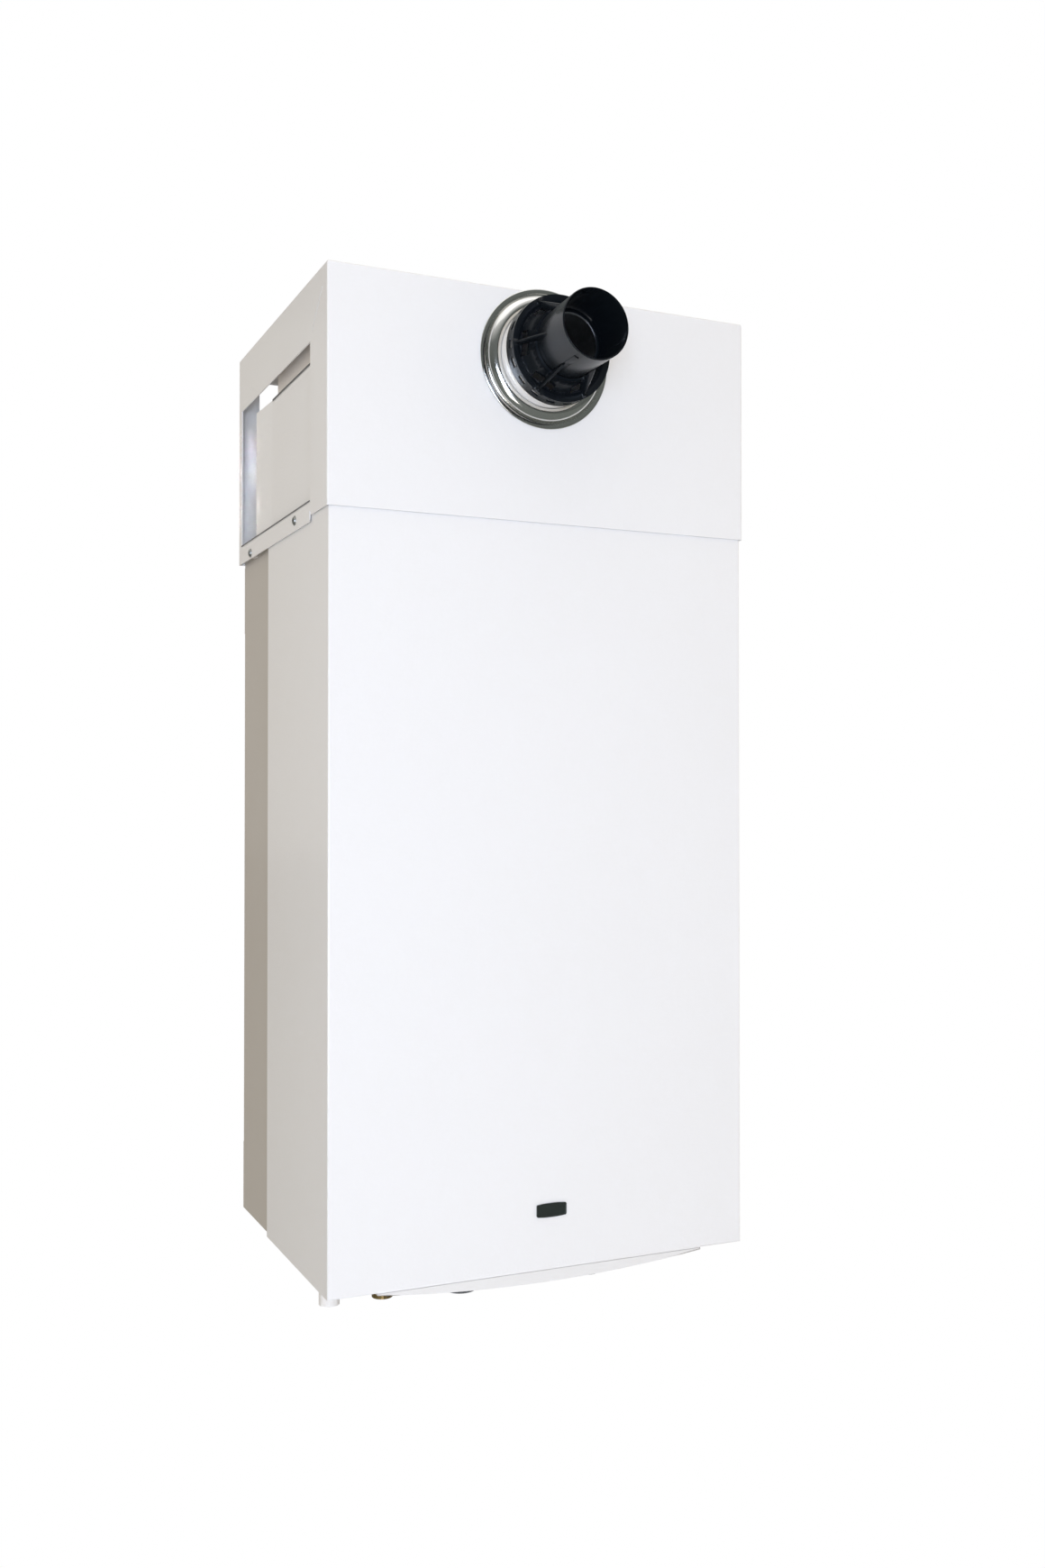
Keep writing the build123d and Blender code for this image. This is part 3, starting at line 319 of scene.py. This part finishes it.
def mix_finish(name, effect, colour, gloss_loss, metal, scale, depth, cloud, dust, coat):
    """One material: an effect group that feeds a shader of its own."""
    material = bpy.data.materials.new(name)
    material.use_nodes = True
    tree = material.node_tree
    shader = tree.nodes["Principled BSDF"]
    shader.inputs["Metallic"].default_value = metal
    shader.inputs["Coat Weight"].default_value = coat
    shader.inputs["Coat Roughness"].default_value = 0.12
    work = tree.nodes.new("ShaderNodeGroup")
    work.node_tree = effects[effect]
    work.inputs["Base"].default_value = (*colour, 1)
    amounts = {"Gloss Loss": gloss_loss, "Scale": scale, "Depth": depth, "Cloud": cloud, "Dust": dust}
    for label, value in amounts.items():
        work.inputs[label].default_value = value
    if effect == "rolled":
        work.inputs["Stretch"].default_value = stretch_of[name]
    tree.links.new(work.outputs["Colour"], shader.inputs["Base Color"])
    tree.links.new(work.outputs["Roughness"], shader.inputs["Roughness"])
    tree.links.new(work.outputs["Normal"], shader.inputs["Normal"])
    return material


finish = {name: mix_finish(name, *values) for name, values in finishes.items()}
terminal_shader = finish["terminal_black"].node_tree.nodes["Principled BSDF"]
terminal_shader.inputs["Specular IOR Level"].default_value = 0.24
for node_name, node in nodes.items():
    node.data.materials.clear()
    node.data.materials.append(finish[slot_of[node_name]])
print("finishes:", len(finish))

# %% [markdown]
# The floor is far below a boiler that hangs on a wall. It is a large pale disc. The camera sees it as white
# paper, bright metal mirrors it dark, and it throws natural light back at everything else.

# %% Lay the floor
bpy.ops.mesh.primitive_circle_add(vertices=96, radius=9, fill_type="NGON", location=(0, 0, -0.75))
floor = bpy.context.object
floor.name = "pale_floor"
bpy.ops.object.mode_set(mode="EDIT")
bpy.ops.mesh.select_all(action="SELECT")
bpy.ops.mesh.inset(thickness=0.5)
bpy.ops.object.mode_set(mode="OBJECT")
bpy.ops.object.transform_apply(location=True, rotation=True, scale=True)
floor_paint = bpy.data.materials.new("floor_paint")
floor_paint.use_nodes = True
floor_tree = floor_paint.node_tree
floor_shader = floor_tree.nodes["Principled BSDF"]
floor_shader.inputs["Base Color"].default_value = (0.76, 0.75, 0.73, 1)
floor_shader.inputs["Roughness"].default_value = 0.9
floor_ray = floor_tree.nodes.new("ShaderNodeLightPath")
glow = floor_tree.nodes.new("ShaderNodeEmission")
shade = floor_tree.nodes.new("ShaderNodeEmission")
shade.inputs["Color"].default_value = (0.16, 0.175, 0.165, 1)
mirrored = choose(floor_tree, floor_ray.outputs["Is Glossy Ray"], floor_shader.outputs[0], shade.outputs[0])
seen = choose(floor_tree, floor_ray.outputs["Is Camera Ray"], mirrored, glow.outputs[0])
floor_tree.links.new(seen, floor_tree.nodes["Material Output"].inputs["Surface"])
floor.data.materials.append(floor_paint)
print("floor", round(floor.dimensions.x, 2), "m wide")

# %% [markdown]
# A few small bench tools do most of the modelling. One clears the selection, because an operator acts on
# everything that is selected. One turns a half section about an axis, the way a spinner or a lathe makes
# the real ring. Some pick faces or edges, and inset or round them. One finishes a piece: its place goes
# into its mesh, and it is told what carries it.

# %% Make the bench tools
X, Y, Z = 0, 1, 2
NEAR = 1e-5


def clear_bench():
    """Leaves nothing selected."""
    bpy.ops.object.select_all(action="DESELECT")


def take(*pieces):
    """Selects only these pieces, and makes the first one active."""
    clear_bench()
    for piece in pieces:
        piece.select_set(True)
    bpy.context.view_layer.objects.active = pieces[0]


def settle(piece, name, slot, *stands_for, body="boiler", angle=32):
    """Applies a piece's place, shades it, gives it its finish and says what carries it."""
    take(piece)
    bpy.ops.object.transform_apply(location=True, rotation=True, scale=True)
    bpy.ops.object.shade_smooth_by_angle(angle=radians(angle))
    piece.name = name
    piece.data.name = name
    piece.data.materials.clear()
    piece.data.materials.append(finish[slot])
    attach(piece, body)
    if stands_for:
        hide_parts(*stands_for)
    return piece


def arc(r, h, size, start, end, count):
    """Points on a round corner of a half section, in radius and height."""
    turns = [radians(start + (end - start) * i / count) for i in range(count + 1)]
    return [(r + size * cos(turn), h + size * sin(turn)) for turn in turns]


def spun(outline, centre, along, steps):
    """Draws a half section in millimetres by extruding one point, and spins it about an axis."""
    clear_bench()
    bpy.ops.mesh.primitive_plane_add(size=0.001)
    piece = bpy.context.object
    bpy.ops.object.mode_set(mode="EDIT")
    bpy.ops.mesh.select_mode(type="VERT")
    bpy.ops.mesh.merge(type="CENTER")
    spots = [tuple(c + (MM * r if i == 0 else 0) + MM * h * a for i, (c, a) in enumerate(zip(centre, along)))
             for r, h in outline]
    bpy.ops.transform.translate(value=spots[0])
    for here, there in zip(spots, spots[1:]):
        step = tuple(b - a for a, b in zip(here, there))
        bpy.ops.mesh.extrude_region_move(TRANSFORM_OT_translate={"value": step})
    bpy.ops.mesh.select_all(action="SELECT")
    bpy.ops.mesh.spin(steps=steps, angle=2 * pi, center=centre, axis=along)
    bpy.ops.mesh.select_all(action="SELECT")
    bpy.ops.mesh.remove_doubles(threshold=MERGE)
    bpy.ops.mesh.normals_make_consistent(inside=False)
    bpy.ops.object.mode_set(mode="OBJECT")
    return piece


def block(low, high):
    """A rectangular start between two corners, in millimetres."""
    clear_bench()
    bpy.ops.mesh.primitive_cube_add(size=MM, location=[MM * (a + b) / 2 for a, b in zip(low, high)])
    piece = bpy.context.object
    piece.scale = [b - a for a, b in zip(low, high)]
    bpy.ops.object.transform_apply(location=True, rotation=True, scale=True)
    return piece


def pick(piece, kind, test):
    """In edit mode, selects only the faces or edges that pass a test."""
    bpy.ops.mesh.select_mode(type="FACE" if kind == "faces" else "EDGE")
    bpy.ops.mesh.select_all(action="DESELECT")
    mesh = bmesh.from_edit_mesh(piece.data)
    for item in getattr(mesh, kind):
        if test(item):
            item.select_set(True)
    bmesh.update_edit_mesh(piece.data)


def runs(edge, axis, least):
    """Whether an edge reaches further along an axis than a given length."""
    start, end = edge.verts
    return abs(start.co[axis] - end.co[axis]) > least


def inset_faces(piece, test, thickness, depth):
    """Insets the faces that pass a test, and moves them in or out."""
    bpy.ops.object.mode_set(mode="EDIT")
    pick(piece, "faces", test)
    bpy.ops.mesh.inset(thickness=thickness, depth=depth)
    bpy.ops.object.mode_set(mode="OBJECT")


def round_edges(piece, test, size, segments):
    """Bevels the edges that pass a test."""
    bpy.ops.object.mode_set(mode="EDIT")
    pick(piece, "edges", test)
    bpy.ops.mesh.bevel(offset=size, segments=segments)
    bpy.ops.object.mode_set(mode="OBJECT")


def soften(piece, width):
    """Rounds the sharp edges of a piece with an applied bevel."""
    take(piece)
    bevel = piece.modifiers.new("soft_edges", "BEVEL")
    bevel.width = width
    bevel.segments = 2
    bevel.limit_method = "ANGLE"
    bevel.angle_limit = radians(40)
    bpy.ops.object.modifier_apply(modifier=bevel.name)


def body_of(node_name):
    """The body that carries a node."""
    return "moving_" + node_name if "moving_" + node_name in frame["bodies"] else "boiler"


# %% [markdown]
# The trim ring hides the hole where the flue leaves the hood. The real one is a thin steel dish spun on a
# lathe: a rolled outer bead, a fine groove, and a crown that rises to the duct. A lathe part is one outline
# turned about an axis, so it is drawn point by point and spun in many steps, and its highlights run clean.

# %% Spin the trim ring
flue_x, flue_z = -0.004, 0.9015
hood_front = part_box("flue_hood")[0][1]
ring_centre = (flue_x, hood_front, flue_z)
FORWARD = (0, -1, 0)
UP = (0, 0, 1)
ring_outline = [(50.4, 0.0)] + arc(68.2, 1.2, 1.2, -90, 90, 8) + [(64.8, 2.0), (64.3, 1.0), (63.3, 1.0)]
ring_outline += arc(53.05, 0.06, 10.0, 10, 80, 12) + [(52.6, 9.9), (51.2, 9.4), (50.5, 8.4), (50.4, 0.0)]
trim_ring = settle(spun(ring_outline, ring_centre, FORWARD, 144), "trim_ring", "ring_steel", "flue_trim_ring")
print("trim ring", round(trim_ring.dimensions.x * 1000, 1), "mm across,", len(trim_ring.data.polygons), "faces")

# %% [markdown]
# The turned and bent pieces came in as flat facets. A copy of each is merged into one skin and shaded by
# angle, with normals weighted by face area so that large flats stay flat beside their rounded edges.

# %% Smooth the round pieces
def smooth_twin(node_name):
    """A merged, smooth copy that stands for a node."""
    # the condensate tail is dressed in white, as waste pipe often is
    slot = "duct_white" if node_name == "condensate_trap" else slot_of[node_name]
    take(nodes[node_name])
    bpy.ops.object.duplicate()
    twin = bpy.context.object
    bpy.ops.object.mode_set(mode="EDIT")
    bpy.ops.mesh.select_all(action="SELECT")
    bpy.ops.mesh.remove_doubles(threshold=MERGE)
    bpy.ops.object.mode_set(mode="OBJECT")
    settle(twin, node_name + "_smooth", slot, node_name, body=body_of(node_name))
    flats = twin.modifiers.new("flats", "WEIGHTED_NORMAL")
    flats.keep_sharp = True
    bpy.ops.object.modifier_apply(modifier=flats.name)
    return twin


round_nodes = """terminal_cage terminal_nozzle flue_duct flue_elbow flue_turret inner_flue
expansion_vessel vessel_pipe flow_pipe return_pipe gas_pipe hot_water_pipe condensate_hose
condensate_trap flow_valve return_valve cold_valve gas_cock gas_valve gas_mixer flow_block
relief_valve relief_cap flow_lever return_lever cold_lever gas_lever heating_knob water_knob
reset_button pressure_gauge gauge_needle control_fascia outer_case flue_hood fan_housing
fan_impeller fan_motor pump_body pump_impeller pump_motor burner_tube burner_door exchanger_shell
plate_exchanger""".split()
twins = {name: smooth_twin(name) for name in round_nodes}
print("smoothed", len(twins), "pieces")

# %% [markdown]
# A flue terminal is fitted with a slight rise to its mouth, so that water drains back to the boiler. The
# nozzle is turned up by about two degrees at its root, and its mouth is opened a little.

# %% Set the nozzle's rise
rise, flare, push = radians(1.9), 1.035, 0.0013
nozzle = twins["terminal_nozzle"]
root_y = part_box("terminal_nozzle")[1][1]
mouth_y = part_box("terminal_nozzle")[0][1]
take(nozzle)
bpy.ops.object.mode_set(mode="EDIT")
pick(nozzle, "faces", lambda f: f.calc_center_median().y < mouth_y + 0.0012)
bpy.ops.transform.resize(value=(flare, 1, flare), center_override=(flue_x, mouth_y, flue_z))
bpy.ops.mesh.select_all(action="SELECT")
bpy.ops.transform.rotate(value=rise, orient_axis="X", center_override=(flue_x, root_y, flue_z))
bpy.ops.transform.translate(value=(0, push, 0))
bpy.ops.object.mode_set(mode="OBJECT")
mouth_z = [v.co.z for v in nozzle.data.vertices if v.co.y < mouth_y + 0.004]
print("mouth from", round(min(mouth_z), 4), "to", round(max(mouth_z), 4), "m high")

# %% [markdown]
# Pan-head screws hold the hood's band and the fascia. Their shape shows only close up, where a cross recess
# reads at once. One screw is spun with its washer, the cross is cut by a boolean, and eight copies are set.

# %% Make one pan screw and set eight
screw_outline = [(0, -8), (2.05, -8), (2.05, 0), (4.9, 0), (4.9, 0.5), (4.7, 0.7), (3.9, 0.7), (3.9, 1.1),
                 (3.6, 1.7), (2.9, 2.1), (1.6, 2.36), (0, 2.4)]
screw = spun(screw_outline, (0, 0, 0), UP, 32)
cross = block((-0.45, -0.45, 1.2), (0.45, 0.45, 3.0))
bpy.ops.object.mode_set(mode="EDIT")
pick(cross, "faces", lambda f: abs(f.normal.z) < 0.5)
bpy.ops.mesh.extrude_faces_move(TRANSFORM_OT_shrink_fatten={"value": 0.0016})
bpy.ops.object.mode_set(mode="OBJECT")
take(screw)
cut = screw.modifiers.new("cross_recess", "BOOLEAN")
cut.object = cross
cut.solver = "EXACT"
bpy.ops.object.modifier_apply(modifier=cut.name)
band_x, foot_x, foot_z = 0.2272, 0.218, -0.002
screw_places = [((side * band_x, y, z), (0, side * pi / 2, 0))
                for side in (-1, 1) for y, z in ((-0.054, 0.739), (-0.236, 0.743))]
screw_places += [((side * foot_x, y, foot_z), (pi, 0, 0)) for side in (-1, 1) for y in (-0.300, -0.245)]
for number, (place, turn) in enumerate(screw_places, 1):
    take(screw)
    bpy.ops.object.duplicate()
    copy = bpy.context.object
    copy.location = place
    copy.rotation_euler = turn
    settle(copy, f"pan_screw_{number}", "screw_zinc", "casing_screws")
take(screw, cross)
bpy.ops.object.delete()
print("screws set:", len(screw_places))

# %% [markdown]
# The blank badge is a glossy black plate with bowed long sides and a raised rim. A box is the start: its
# long edges are divided and pushed out, its corners bevelled, and its face inset and pressed in.

# %% Shape the badge
FRONT = -345.0
badge_x, badge_z, badge_depth = 4.5, 58.5, 1.6
badge_half, badge_side, badge_bow = 16.2, 6.0, 1.0
cuts = 9
badge = block((badge_x - badge_half, FRONT - badge_depth, badge_z - badge_side),
              (badge_x + badge_half, FRONT, badge_z + badge_side))
bpy.ops.object.mode_set(mode="EDIT")
pick(badge, "edges", lambda e: runs(e, X, 0.01))
bpy.ops.mesh.subdivide(number_cuts=cuts)
for column in range(1, cuts + 1):
    across = badge_half * (2 * column / (cuts + 1) - 1)
    for side in (-1, 1):
        spot_x, spot_z = MM * (badge_x + across), MM * (badge_z + side * badge_side)
        pick(badge, "edges", lambda e: all(hypot(v.co.x - spot_x, v.co.z - spot_z) < NEAR for v in e.verts))
        lift = MM * side * badge_bow * (1 - (across / badge_half) ** 2)
        bpy.ops.transform.translate(value=(0, 0, lift))
pick(badge, "edges", lambda e: runs(e, Y, 0.001)
     and all(abs(abs(v.co.x - MM * badge_x) - MM * badge_half) < NEAR for v in e.verts))
bpy.ops.mesh.bevel(offset=0.0015, segments=5)
pick(badge, "faces", lambda f: f.normal.y < -0.9)
bpy.ops.mesh.inset(thickness=0.0008, depth=0)
bpy.ops.mesh.inset(thickness=0.0003, depth=-0.0004)
bpy.ops.object.mode_set(mode="OBJECT")
soften(badge, 0.00015)
settle(badge, "badge_face", "badge_black", "badge_plate", angle=25)
print("badge", [round(d * 1000, 1) for d in badge.dimensions], "mm")

# %% [markdown]
# Dark strips run along the lower edge of the service window and the top edge of the infill, as painted shade
# lines where the sheet edges fall into shade. Two are small channels pushed over the sheet, so a bar is given a
# slot by insetting its open side and pressing that face inwards. The third has round ends and stands behind the
# slanted slit.

# %% Push on the edge strips
def edge_strip(name, low, high):
    """A channel with its slot on its lower side."""
    strip = block(low, high)
    inset_faces(strip, lambda f: f.normal.z < -0.9, 0.0005, -0.0009)
    soften(strip, 0.00018)
    return settle(strip, name, "hose_grey")


slit_strip = block((-225.95, -25.5, -3.5), (-225.2, 25.5, 3.5))
round_edges(slit_strip, lambda e: runs(e, X, 0.0005), 0.003, 4)
slit_strip.rotation_euler = (atan2(-32.4, 34.5), 0, 0)
slit_strip.location = (0, -0.3137, 0.9318)
settle(slit_strip, "slit_strip", "hose_grey")
# these two dark strips are painted shade lines along the window's sill and the infill's top edge
strips = [edge_strip("window_sill_strip", (-227.75, -290, 752.0), (-225.45, -12, 753.5)),
          edge_strip("infill_top_strip", (-222.85, -290, 889.4), (-220.4, -131, 891.7))]
print("strips:", [round(s.dimensions.y * 1000) for s in strips], "mm long")

# %% [markdown]
# The turret's band clamp holds the elbow: a thin strap round the collar, with two ears and a bolt. The strap
# is spun. The ears and the bolt are shaped from boxes and a six-sided bar, and all are joined as one clamp.

# %% Wrap the turret clamp
strap_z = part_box("flue_turret")[1][2] * 1000 - 8
strap_outline = [(52.85, -4.5), (53.9, -4.5), (54.1, -4.0), (53.8, 0), (54.1, 4.0), (53.9, 4.5),
                 (52.85, 4.5), (52.85, -4.5)]
strap = spun(strap_outline, (flue_x, -0.200, MM * strap_z), UP, 96)
parts = [strap]
for side in (-1, 1):
    ear_y = -200 + side * 3.2
    ear = block((-67, ear_y - 0.8, strap_z - 4.5), (-56.5, ear_y + 0.8, strap_z + 4.5))
    inset_faces(ear, lambda f: f.normal.x < -0.9, 0.0003, 0.0006)
    soften(ear, 0.0003)
    parts.append(ear)
clear_bench()
bpy.ops.mesh.primitive_cylinder_add(vertices=6, radius=0.0036, depth=0.0032,
                                    location=(-0.0622, -0.2058, MM * strap_z), rotation=(pi / 2, 0, 0))
bolt = bpy.context.object
bpy.ops.object.mode_set(mode="EDIT")
pick(bolt, "faces", lambda f: len(f.verts) == 6 and f.calc_center_median().z > 0)
bpy.ops.mesh.inset(thickness=0.0006, depth=0.0004)
pick(bolt, "faces", lambda f: len(f.verts) == 6 and f.calc_center_median().z < 0)
bpy.ops.mesh.inset(thickness=0.0019, depth=0)
bpy.ops.mesh.extrude_region_move(TRANSFORM_OT_translate={"value": (0, 0.0125, 0)})
bpy.ops.object.mode_set(mode="OBJECT")
parts.append(bolt)
take(*parts)
bpy.ops.object.join()
settle(strap, "turret_clamp", "screw_zinc")
print("clamp at", round(strap_z), "mm,", len(strap.data.polygons), "faces")

# %% [markdown]
# Where the tails pass the foot plate they sit in rubber grommets, which keep the sheet's edge off the pipe.
# A grommet is a ring with a groove for the sheet, so it is spun once for each pipe size and set in place.

# %% Fit the grommets
PLATE_TOP = 22.5
WIDE, NARROW = 9.05, 7.55  # the bores for the two sizes of tail, in millimetres


def grommet(name, x, bore):
    """A grooved rubber ring in the foot plate."""
    outline = [(bore, -2.6), (14.0, -2.6), (14.6, -2.0), (14.6, -0.1), (12.4, -0.1), (12.4, 1.6), (14.6, 1.6),
               (14.6, 3.4), (14.0, 4.0), (bore, 4.0), (bore, -2.6)]
    settle(spun(outline, (MM * x, -0.182, MM * PLATE_TOP), UP, 48), name, "hose_grey", angle=25)


tails = (("flow", -116, WIDE), ("hot", -58, NARROW), ("gas", 0, WIDE),
         ("cold", 58, NARROW), ("return", 116, WIDE), ("relief", 174, NARROW))
for tail, x, bore in tails:
    grommet(tail + "_grommet", x, bore)
print("grommets:", len(tails))

# %% [markdown]
# The chin closes on the case with a slim moulded bead that fills the bend under the front. A bar with softened
# edges does it, set flush with the front, so that the joint is only a hairline as on the real front.

# %% Close the chin joint
chin_half = 176
chin_bead = block((-chin_half, FRONT, -0.5), (chin_half, FRONT + 2, 2.0))
inset_faces(chin_bead, lambda f: abs(f.normal.x) > 0.9, 0.0003, 0.0003)
soften(chin_bead, 0.0002)
settle(chin_bead, "chin_bead", "case_white")
print("bead", round(chin_bead.dimensions.x * 1000), "mm wide")

# %% [markdown]
# Below the chin are two knobs with moulded pointers and a ring of marks for each. A mark is one small
# rounded bar, copied round the knob, each copy set at the height of the bowed underside where it stands.

# %% Mark the knobs
chin_rise, chin_low = 10, -12
chin_radius = (chin_half ** 2 + chin_rise ** 2) / (2 * chin_rise)
knob_y, knob_side, mark_reach = -288.0, 70, 21.6


def belly(x):
    """The height of the fascia's bowed underside, in millimetres."""
    return chin_low + chin_radius - (chin_radius ** 2 - x ** 2) ** 0.5


knob_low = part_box("heating_knob")[0][2] * 1000
for side, knob_name in ((-1, "heating"), (1, "water")):
    knob_x = side * knob_side
    pointer = block((knob_x - 1.05, knob_y - 14.7, knob_low + 0.1),
                    (knob_x + 1.05, knob_y - 3.3, knob_low + 0.85))
    round_edges(pointer, lambda e: runs(e, Z, 0.0005), 0.0009, 4)
    settle(pointer, knob_name + "_pointer", "fascia_grey", body=f"moving_{knob_name}_knob")
    marks = []
    for number in range(11):
        turn = radians(-135 + 27 * number)
        x, y = knob_x + mark_reach * sin(turn), knob_y - mark_reach * cos(turn)
        half = 2.4 if number % 5 == 0 else 1.5
        mark = block((-0.55, -half, -0.3), (0.55, half, 0.3))
        round_edges(mark, lambda e: runs(e, Z, 0.0005), 0.0005, 3)
        mark.location = (MM * x, MM * y, MM * belly(x))
        mark.rotation_euler = (0, 0, turn)
        bpy.ops.object.transform_apply(location=True, rotation=True, scale=True)
        marks.append(mark)
    take(*marks)
    bpy.ops.object.join()
    settle(marks[0], knob_name + "_marks", "knob_grey")
print("marks stand at", round(belly(knob_side), 2), "mm")

# %% [markdown]
# The pressure gauge has a white dial behind its needle, with a mark for each half bar and plain numbers.
# The numbers are text that is turned into a mesh, and they face down, towards someone who looks up at them.

# %% Draw the gauge dial
dial_z, ink_reach, figure_reach = -6.35, 13.9, 10.0
dial_outline = [(0, -0.3), (15.6, -0.3), (16.3, -0.1), (16.6, 0.3), (0, 0.3)]
dial = spun(dial_outline, (0, MM * knob_y, MM * dial_z), UP, 64)
settle(dial, "gauge_dial", "fascia_grey")
inked = []
for number in range(9):
    turn = radians(number * 270 / 8)
    x, y = ink_reach * sin(turn), knob_y - ink_reach * cos(turn)
    whole_bar = number % 2 == 0
    half = 1.5 if whole_bar else 0.9
    mark = block((-0.35, -half, -0.06), (0.35, half, 0.12))
    inset_faces(mark, lambda f: f.normal.z < -0.9, 0.0001, 0.00002)
    mark.location = (MM * x, MM * y, MM * (dial_z - 0.32))
    mark.rotation_euler = (0, 0, turn)
    inked.append(mark)
    if whole_bar:
        clear_bench()
        spot = (MM * figure_reach * sin(turn), MM * (knob_y - figure_reach * cos(turn)), MM * (dial_z - 0.30))
        bpy.ops.object.text_add(location=spot, rotation=(pi, 0, 0))
        figure = bpy.context.object
        figure.data.body = str(number // 2)
        figure.data.size = 0.0048
        figure.data.extrude = 0.00008
        figure.data.align_x = "CENTER"
        figure.data.align_y = "CENTER"
        bpy.ops.object.convert(target="MESH")
        inked.append(figure)
take(*inked)
bpy.ops.object.transform_apply(location=True, rotation=True, scale=True)
bpy.ops.object.join()
settle(inked[0], "gauge_marks", "gauge_black", angle=20)
print("dial", round(dial.dimensions.x * 1000, 1), "mm across")
